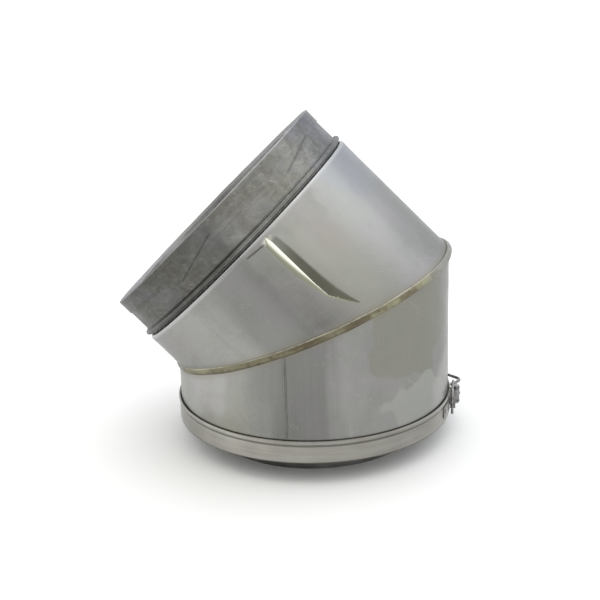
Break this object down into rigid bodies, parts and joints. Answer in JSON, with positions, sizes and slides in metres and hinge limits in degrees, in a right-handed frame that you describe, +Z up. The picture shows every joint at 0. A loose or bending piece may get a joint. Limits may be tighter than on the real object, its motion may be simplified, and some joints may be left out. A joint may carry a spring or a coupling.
{
  "type": "flue elbow",
  "caption": "Insulated twin-wall flue elbow: mitred stainless casing round a mitred liner, coupling collar above, latched locking band below.",
  "frame": {"origin": "centre of the liner spigot's open end, the lowest point of the elbow", "axes": "+Z up the lower segment's axis; the upper segment's axis leans 45 degrees from +Z towards -X"},
  "size_m": [0.25, 0.2044, 0.2402],
  "materials": {
    "casing_steel": "bright rolled stainless, soft mirror",
    "heat_tinted_weld": "weld bead, straw and brown heat tint",
    "weld_line": "fine flattened weld",
    "dull_steel": "dull mottled mill finish",
    "ring_steel": "pressed sheet, satin",
    "liner_steel": "rolled stainless, satin",
    "mineral_wool": "fibrous rock wool",
    "band_steel": "warm grey brushed strip",
    "latch_steel": "pressed plate",
    "rivet_steel": "round-headed rivets",
    "latch_wire": "drawn wire, darkened"
  },
  "bodies": {
    "elbow": {"outer_casing_lower": "casing_steel", "outer_casing_upper": "casing_steel", "mitre_seam_bead": "heat_tinted_weld", "lower_casing_seam": "weld_line", "top_coupling_collar": "dull_steel", "top_closing_ring": "ring_steel", "recess_closing_ring": "ring_steel", "inner_liner_lower": "liner_steel", "inner_liner_upper": "liner_steel", "liner_mitre_weld": "weld_line", "inner_liner_seam": "weld_line", "insulation_lower": "mineral_wool", "insulation_upper": "mineral_wool"},
    "band": {"locking_band_strap": "band_steel", "keeper_plate": "latch_steel", "keeper_rivets": "rivet_steel", "latch_bracket": "latch_steel", "bracket_rivets": "rivet_steel", "lever_pivot_pin": "latch_wire"},
    "lever": {"over_centre_lever": "latch_wire"},
    "bail": {"draw_bail": "latch_wire"}
  },
  "joints": [
    {"name": "band_turn", "type": "hinge", "parent": "elbow", "child": "band", "pos_m": [0, 0, 0.02435], "axis": [0, 0, 1], "continuous": true},
    {"name": "lever_hinge", "type": "hinge", "parent": "band", "child": "lever", "pos_m": [0.10526, 0.01479, 0.02435], "axis": [0, 0, -1], "range_deg": [0, 150]},
    {"name": "bail_hinge", "type": "hinge", "parent": "lever", "child": "bail", "pos_m": [0.10273, 0.02078, 0.02435], "axis": [0, 0, -1], "range_deg": [-165, 0]}
  ],
  "couplings": [
    {"joint": "bail_hinge", "follows": "lever_hinge", "ratio": -1.1}
  ]
}
